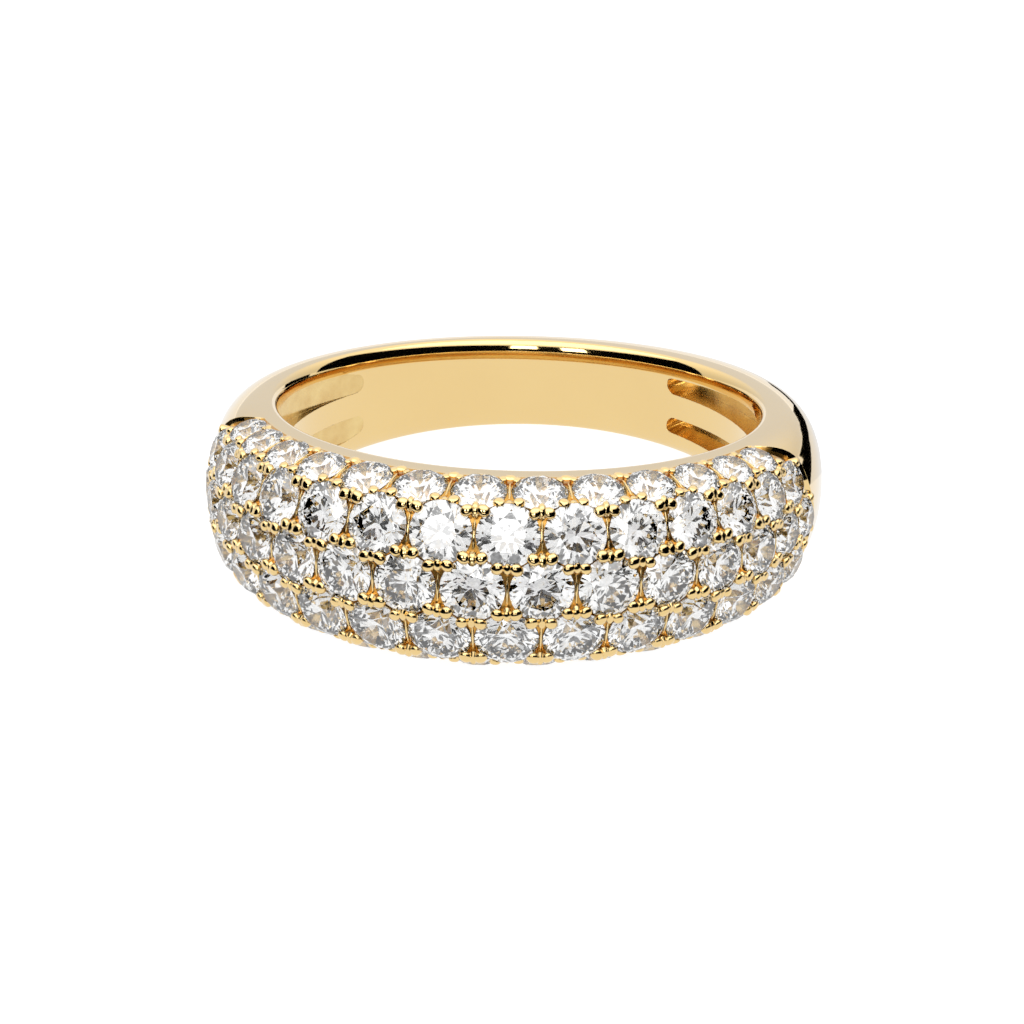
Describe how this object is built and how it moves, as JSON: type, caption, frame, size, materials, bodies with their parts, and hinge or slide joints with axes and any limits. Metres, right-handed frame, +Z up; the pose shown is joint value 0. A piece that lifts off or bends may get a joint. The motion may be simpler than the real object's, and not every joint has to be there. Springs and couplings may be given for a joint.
{
  "type": "domed pave diamond ring",
  "caption": "Domed gold finger ring whose wide front is covered in staggered rows of round brilliant stones held by small grains, lying on its side.",
  "frame": {"origin": "centre of the ring's footprint, on the surface that it lies on", "axes": "+Z up from that surface, -Y towards the paved front, +X to the right of someone facing the front"},
  "size_m": [0.0224, 0.0232, 0.0072],
  "materials": {
    "gold": "polished",
    "diamond": "polished"
  },
  "bodies": {
    "root": {"band": "gold", "pave_stones": "diamond"}
  },
  "joints": []
}
